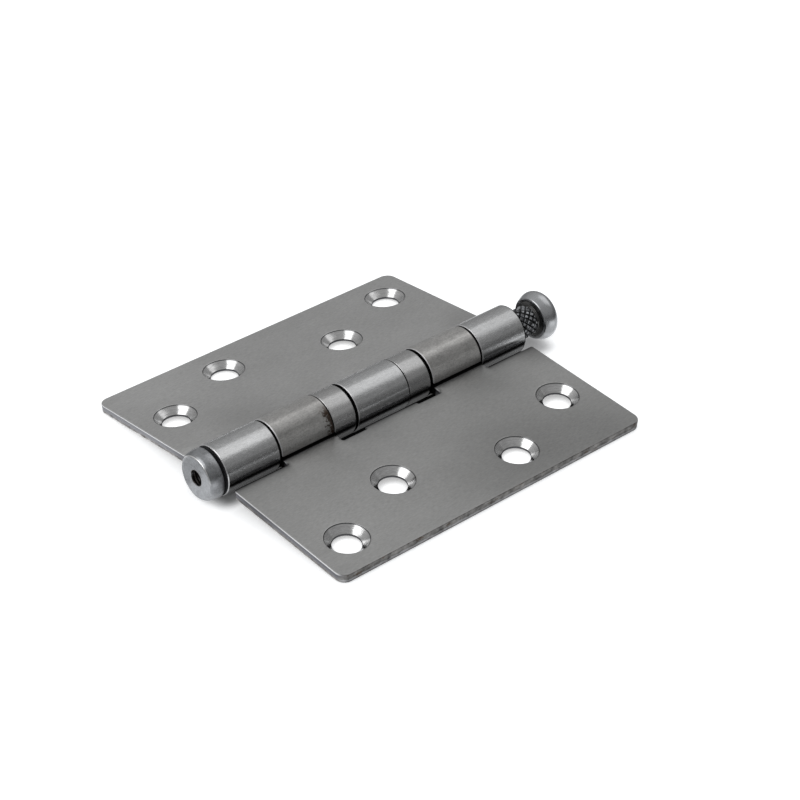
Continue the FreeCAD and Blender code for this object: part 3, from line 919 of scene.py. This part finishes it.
def makeKnurlTree():
    # a grid wrapped round the pin, whose radius rises to a crest in each diamond between two sets of
    # helical grooves
    numbers = {"Crest": 3.87, "Depth": 0.42, "Start": 0.0, "Length": 6.6, "Axis Height": 6.1, "Middle": 48.4}
    tree, given = startTree("diamondKnurl", numbers, {"Teeth": 14, "Rows": 4, "Fineness": 14})
    teeth, rows, fineness = given["Teeth"], given["Rows"], given["Fineness"]
    sizes = {
        "Size X": 1.0, "Size Y": 1.0, "Vertices X": teeth * fineness + 1.0, "Vertices Y": rows * fineness + 1.0,
    }
    grid = wire(tree, "GeometryNodeMeshGrid", sizes, "Mesh")
    x, y, _ = split(wire(tree, "GeometryNodeInputPosition"))
    around, along = x + 0.5, y + 0.5
    hands = (around * teeth + along * rows, around * teeth - along * rows)
    fromGroove = [0.5 - calc(tree, "FRACT", hand + 64.0).apart(0.5) for hand in hands]
    crest = (fromGroove[0].least(fromGroove[1]) * 2.0 * 1.8).least(1.0)
    # the knurl runs out into a bevel at both ends, and each diamond is pressed a little unevenly
    runOut = ((0.5 - along.apart(0.5)) * 22.0).least(1.0)
    cells = [calc(tree, "FLOORED_MODULO", calc(tree, "FLOOR", hand), teeth) for hand in hands]
    draw = {"Min": 0.62, "Max": 1.0, "Seed": 7, "ID": cells[0] * 31.0 + cells[1]}
    height = crest * runOut * wire(tree, "FunctionNodeRandomValue", draw, 1, data_type="FLOAT")
    radius = given["Crest"] - given["Depth"] + given["Depth"] * height
    turn = around * (2 * math.pi)
    point = {
        "X": radius * calc(tree, "COSINE", turn) * mm,
        "Y": (given["Start"] + along * given["Length"] - given["Middle"]) * mm,
        "Z": (radius * calc(tree, "SINE", turn) + given["Axis Height"]) * mm,
    }
    place = wire(tree, "ShaderNodeCombineXYZ", point)
    wrapped = wire(tree, "GeometryNodeSetPosition", {"Geometry": grid, "Position": place})
    joined = wire(tree, "GeometryNodeMergeByDistance", {"Geometry": wrapped, "Distance": 1e-6})
    return closeTree(tree, joined, given["Finish"])


def makeKnurl():
    p = pinSizes
    values = {
        "Crest": p["knurlCrest"], "Depth": p["knurlCrest"] - p["knurlRoot"], "Start": p["knurlStart"],
        "Length": p["knurlEnd"] - p["knurlStart"], "Axis Height": barrel["axisHeight"],
        "Middle": barrel["middleY"], "Teeth": 14, "Rows": 4, "Fineness": 14, "Finish": materials["knurlSteel"],
    }
    mesh = runTree("pinKnurl", makeKnurlTree(), values)
    outward(mesh)
    mesh.shade_flat()
    newObject("pinKnurlBand", mesh, materials["knurlSteel"], "pin", "pin_steel", "hinge_pin")


makePin()
makeKnurl()
print("pin turned and knurled")


plugSizes = {
    "face": -4.3,
    "back": -0.9,
    "depth": 5.0,
    "radius": 6.05,
    "shank": 3.88,
    "drift": 1.85,             # radius of the hole for the drift that drives the pin out
    "threadPitch": 0.7,
    "threadDepth": 0.14,
    "threadRings": 84,
}


def makePlug():
    p = plugSizes
    face, back, depth, wide, shank, drift = (p[k] for k in ("face", "back", "depth", "radius", "shank", "drift"))
    outline = [
        (drift + 0.16, face), (3.0, face), (4.7, face), (wide - 0.88, face), (wide - 0.86, face + 0.015),
        (wide - 0.76, face + 0.135), (wide - 0.73, face + 0.17), (wide - 0.58, face + 0.36),
        (wide - 0.41, face + 0.6), (wide - 0.27, face + 1.0), (wide - 0.15, face + 1.5), (wide - 0.07, face + 2.0),
        (wide - 0.02, face + 2.5), (wide, face + 2.85), (wide - 0.02, face + 3.1), (wide - 0.1, face + 3.27),
        (wide - 0.26, face + 3.37), (wide - 0.45, back), (4.2, back), (shank + 0.06, back + 0.02),
        (shank, back + 0.1), (shank, depth - 0.4), (shank - 0.1, depth - 0.1), (shank - 0.35, depth),
        (drift + 0.2, depth), (drift, depth - 0.15),
    ]
    first, rings = len(outline), p["threadRings"]
    threadRun = face + 0.12 - depth + 0.15
    outline += [(drift, depth - 0.15 + threadRun * k / rings) for k in range(1, rings)]
    last = len(outline)
    outline += [(drift, face + 0.12), (drift + 0.06, face + 0.03)]

    def thread(number, y, turn):
        if not first <= number < last:
            return 0.0
        phase = (y / p["threadPitch"] + turn / (2 * math.pi)) % 1.0
        return p["threadDepth"] * (1.0 - abs(2 * phase - 1.0))

    mesh = turnOutline("tipPlugTurned", outline, closed=True, wave=thread)
    newObject("tipPlugTurned", mesh, materials["plugSteel"], "fixed_leaf", "plug_steel", "tip_plug")


makePlug()

bearingSizes = {
    "starts": {"lower": 30.0, "upper": 52.45},
    "shellBodies": {"lower": "swing_leaf", "upper": "fixed_leaf"},
    "topBodies": {"lower": "fixed_leaf", "upper": "swing_leaf"},
    "shell": 6.06,
    "wall": 0.35,
    "height": 6.3,
    "lip": 5.16,
    "bore": 3.95,
    "raceOuter": 5.68,
    "softEdge": 0.08,
    "lowerRace": 2.2,
    "ball": 0.6,
    "ballClear": 0.03,
    "top": 7.0,
    "pitch": 4.815,
    "balls": 8,
}


def makeBallTree():
    numbers = {"Pitch Radius": 4.815, "Ball Radius": 0.6, "Station": 0.0, "Axis Height": 6.1}
    tree, given = startTree("ballCircle", numbers, {"Balls": 8})
    circle = {"Vertices": given["Balls"], "Radius": given["Pitch Radius"]}
    points = wire(tree, "GeometryNodeMeshCircle", circle)
    sphere = {"Segments": 40, "Rings": 20, "Radius": given["Ball Radius"]}
    ball = wire(tree, "GeometryNodeMeshUVSphere", sphere, "Mesh")
    spread = wire(tree, "GeometryNodeInstanceOnPoints", {"Points": points, "Instance": ball})
    at = wire(tree, "ShaderNodeCombineXYZ", {"Y": given["Station"], "Z": given["Axis Height"]})
    placing = {"Geometry": spread, "Translation": at, "Rotation": (math.pi / 2, 0.0, 0.0), "Scale": (mm, mm, mm)}
    return closeTree(tree, wire(tree, "GeometryNodeTransform", placing), given["Finish"])


def makeBearing(which, ballTree):
    b = bearingSizes
    start, wide, lip, wall, bore = b["starts"][which], b["shell"], b["lip"], b["wall"], b["bore"]
    inside, top = wide - wall, start + b["height"]
    shell = [
        (inside, start + 0.02), (inside + 0.05, start), (wide - 0.14, start), (wide - 0.12, start + 0.012),
        (wide - 0.015, start + 0.15), (wide, start + 0.18), (wide, start + 0.3), (wide, start + 2.6),
        (wide, top - 0.4), (wide - 0.015, top - 0.22), (wide - 0.06, top - 0.1), (wide - 0.14, top - 0.03),
        (wide - 0.26, top), (lip + 0.1, top), (lip + 0.02, top - 0.04), (lip, top - 0.12),
        (lip, top - wall + 0.06), (lip + 0.06, top - wall), (inside - 0.2, top - wall),
        (inside - 0.05, top - wall - 0.05), (inside, top - wall - 0.2),
    ]
    outer, soft = b["raceOuter"], b["softEdge"]
    raceTop = start + b["lowerRace"]
    lowerRace = [
        (bore, start + soft), (bore + soft, start), (outer - soft, start), (outer, start + soft),
        (outer, raceTop - soft), (outer - soft, raceTop), (bore + soft, raceTop), (bore, raceTop - soft),
    ]
    under = raceTop + 2 * (b["ball"] + b["ballClear"])
    flangeTop = top - wall - 0.03
    collar, end = lip - 0.03, start + b["top"]
    upperRace = [
        (bore, under + soft), (bore + soft, under), (outer - soft, under), (outer, under + soft),
        (outer, flangeTop - 0.22), (outer - 0.22, flangeTop), (collar + 0.05, flangeTop), (collar, flangeTop + 0.05),
        (collar, end - 0.15), (collar - 0.05, end - 0.04), (collar - 0.15, end), (bore + soft, end),
        (bore, end - soft),
    ]
    lowerBody, upperBody = b["shellBodies"][which], b["topBodies"][which]
    for label, outline, finish, body, slotName, node in (
        ("ShellDrawn", shell, "shellSteel", lowerBody, "shell_steel", "shell"),
        ("LowerRaceGround", lowerRace, "raceSteel", lowerBody, "race_steel", "lower_race"),
        ("UpperRaceGround", upperRace, "raceSteel", upperBody, "race_steel", "upper_race"),
    ):
        mesh = turnOutline(which + label, outline, closed=True)
        newObject(which + label, mesh, materials[finish], body, slotName, f"{which}_bearing_{node}")

    values = {
        "Pitch Radius": b["pitch"], "Ball Radius": b["ball"], "Axis Height": barrel["axisHeight"] * mm,
        "Station": stationAt(raceTop + b["ball"] + b["ballClear"]), "Balls": b["balls"],
        "Finish": materials["ballSteel"],
    }
    mesh = runTree(f"{which}BallSet", ballTree, values)
    outward(mesh)
    nodes = [f"{which}_bearing_ball_{number:02d}" for number in range(1, b["balls"] + 1)]
    newObject(f"{which}BallSet", mesh, materials["ballSteel"], f"{which}_ball_cage", "ball_steel", *nodes)


ballTree = makeBallTree()
for which in ("lower", "upper"):
    makeBearing(which, ballTree)
print("plug and bearings ready")

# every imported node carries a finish, also those that a piece stands for
nodeFinishes = {
    "back_leaf": "backLeafSteel", "front_leaf": "frontLeafSteel", "hinge_pin": "headSteel", "tip_plug": "plugSteel",
    "shell": "shellSteel", "race": "raceSteel", "cage": "cageBrass",
}
for nodeName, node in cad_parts.items():
    finish = nodeFinishes.get(nodeName) or nodeFinishes.get(nodeName.split("_")[-1], "ballSteel")
    node.data.materials.clear()
    node.data.materials.append(materials[finish])


# Stage: floor, lamps, surround and camera

stageSizes = {
    "floorReach": 3.0,
    "floorColour": (0.93, 0.93, 0.93),
    "floorLift": 0.42,         # how much the floor is lifted towards white where it is seen
    "barrelShade": 0.97,       # painted shade on the table right under the barrel, and beyond its two ends
    "endShade": 0.68,
    "holeLift": 0.24,          # painted light: extra lift where the table shows through a screw hole
    "lampDistance": 0.9,
    "softLight": (0.72, 0.735, 0.75),   # the surround's plain light on the floor
}

lamps = {
    # direction from the hinge, width, depth and radiance of each soft box
    "overheadSoftbox": ((0.035, 0.54, 0.84), 0.75, 0.8, 0.53),
    "windowSoftbox": ((-0.15, -0.63, 0.76), 0.7, 0.42, 1.5),
}


def lightRays(tree):
    outputs = tree.nodes.new("ShaderNodeLightPath").outputs
    return [Wire(tree, outputs[f"Is {kind} Ray"]) for kind in ("Camera", "Glossy", "Transmission")]


def makeFloor():
    reach = stageSizes["floorReach"]
    mesh = bpy.data.meshes.new("tableTop")
    corners = ((-reach, -reach), (reach, -reach), (reach, reach), (-reach, reach))
    mesh.from_pydata([(x, y, -0.00002) for x, y in corners], [], [(0, 1, 2, 3)])
    floor = bpy.data.objects.new("tableTop", mesh)
    bpy.context.scene.collection.objects.link(floor)
    material = bpy.data.materials.new("paleTable")
    material.use_nodes = True
    tree = material.node_tree
    shader = tree.nodes["Principled BSDF"]
    camera, glossy, transmission = lightRays(tree)
    place = wire(tree, "ShaderNodeTexCoord", None, "Object")
    x, y, _ = split(place)
    across, along = x.apart(0.0), y.apart(0.0)

    # painted shade: the table is kept in deep shade under the barrel and past its two ends
    inner = across.ramp(9.4 * mm, 7.6 * mm) * along.ramp(45.5 * mm, 43.5 * mm) * y.ramp(43.7 * mm, 42 * mm)
    outer = x.apart(1.8 * mm).ramp(6.6 * mm, 2.5 * mm) * along.ramp(52 * mm, 47.2 * mm)
    outer = outer * y.ramp(-10 * mm, 10 * mm, 0.85, 0.5)
    deep = 1.0 - (inner * stageSizes["barrelShade"]).most(outer * stageSizes["endShade"])

    # painted shade for reflections: steel mirrors a table that fades with distance and to the right, and lies in
    # shade under the hinge
    fade = measure("DISTANCE", place, (0.0, 0.0, 0.0)).ramp(55 * mm, 100 * mm, 1.0, 0.2)
    fade = fade * measure("DOT_PRODUCT", place, (0.84, 0.54, 0.0)).ramp(50 * mm, 90 * mm, 1.0, 0.35)
    pastEnd = along.ramp(45.5 * mm, 48.5 * mm) * across.ramp(12 * mm, 24 * mm, 0.62, 1.0)
    outside = across.ramp(43.5 * mm, 46.5 * mm).most(pastEnd)
    through = 0.0
    for side, holes in ((1, screwHoles["front"]), (-1, screwHoles["back"])):
        for s, station in holes:
            below = measure("DISTANCE", place, (side * s * mm, stationAt(station), 0.0))
            outside = outside.most(below.ramp(4.2 * mm, 2.8 * mm, 0.0, 0.7))
            # painted light: the camera sees the table through a hole a little to the back left of it, and there the
            # table is lifted towards white
            shifted = measure("DISTANCE", place, ((side * s - 1.0) * mm, stationAt(station + 0.9), 0.0))
            through = shifted.ramp(4.4 * mm, 1.2 * mm).most(through)
    under = calc(tree, "ADD", outside * 0.9, across.ramp(7.5 * mm, 6 * mm, 0.01, 0.34), clamp=True)
    shown = 1.0 - glossy * (1.0 - fade * under)
    shown = shown * deep.most(glossy * (1.0 - outer * 0.6))
    raised = camera.most(glossy).most(transmission) * shown * (1.0 - inner.most(outer)).most(glossy)
    values = {
        "Roughness": 0.9, "Specular IOR Level": 0.0, "Emission Color": (1.0, 1.0, 1.0),
        "Base Color": brighten(stageSizes["floorColour"], shown - 1.0),
        "Emission Strength": raised * stageSizes["floorLift"] + through * camera * stageSizes["holeLift"],
    }
    for label, value in values.items():
        feed(value, shader.inputs[label])
    mesh.materials.append(material)


def makeLamp(name, direction, width, depth, radiance):
    light = bpy.data.lights.new(name, "AREA")
    light.shape = "RECTANGLE"
    light.size = width
    light.size_y = depth
    light.energy = radiance * math.pi * width * depth
    lamp = bpy.data.objects.new(name, light)
    bpy.context.scene.collection.objects.link(lamp)
    aim = Vector(direction).normalized()
    lamp.location = aim * stageSizes["lampDistance"]
    lamp.rotation_mode = "QUATERNION"
    lamp.rotation_quaternion = aim.to_track_quat("Z", "Y")


def makeSurround():
    world = bpy.data.worlds.new("studioSurround")
    bpy.context.scene.world = world
    world.use_nodes = True
    tree = world.node_tree
    tree.nodes.clear()
    x, _, z = split(wire(tree, "ShaderNodeTexCoord", None, "Generated"))
    # steel sees a dim room: darker on the right, paler on the left and higher up, with a faint stripe
    room = x.ramp(0.65, -0.6, 0.13, 0.3) + z.ramp(0.05, 0.85, 0.0, 0.19)
    room = room + z.ramp(0.31, 0.4) * z.ramp(0.49, 0.4) * x.ramp(0.3, 0.5, 0.0, 0.11)
    camera, glossy, transmission = lightRays(tree)

    def background(colour):
        return wire(tree, "ShaderNodeBackground", {"Color": colour})

    def choose(factor, first, second):
        return wire(tree, "ShaderNodeMixShader", {0: factor, 1: first, 2: second})

    lit = choose(glossy, background(stageSizes["softLight"]), background(room))
    surface = choose(camera.most(transmission), lit, background((1.0, 1.0, 1.0)))
    addNode(tree, "ShaderNodeOutputWorld", {"Surface": surface})


photoCamera = {
    "azimuth": math.radians(49.688),
    "elevation": math.radians(33.245),
    "roll": math.radians(-0.901),
    "target": (6.208, 0.723, 6.1),
    "distance": 521.33,
    "lens": 102.402,
}


def makeCamera():
    azimuth, elevation, roll = (photoCamera[key] for key in ("azimuth", "elevation", "roll"))
    level = math.cos(elevation)
    back = Vector((math.sin(azimuth) * level, -math.cos(azimuth) * level, math.sin(elevation)))
    right = (-back).cross(Vector((0.0, 0.0, 1.0))).normalized()
    up = right.cross(-back)
    rolledRight = right * math.cos(roll) + up * math.sin(roll)
    rolledUp = up * math.cos(roll) - right * math.sin(roll)
    data = bpy.data.cameras.new("photoCamera")
    data.sensor_width = 36.0
    data.lens = photoCamera["lens"]
    data.clip_start = 0.01
    data.clip_end = 20.0
    camera = bpy.data.objects.new("photoCamera", data)
    bpy.context.scene.collection.objects.link(camera)
    turn = Matrix((rolledRight, rolledUp, back)).transposed()
    place = Vector(photoCamera["target"]) * mm + back * photoCamera["distance"] * mm
    camera.matrix_world = Matrix.Translation(place) @ turn.to_4x4()
    bpy.context.scene.camera = camera


makeFloor()
for name, (direction, width, depth, radiance) in lamps.items():
    makeLamp(name, direction, width, depth, radiance)
makeSurround()
makeCamera()
bpy.context.scene.view_settings.view_transform = "Standard"
print("stage set")

bpy.context.view_layer.update()
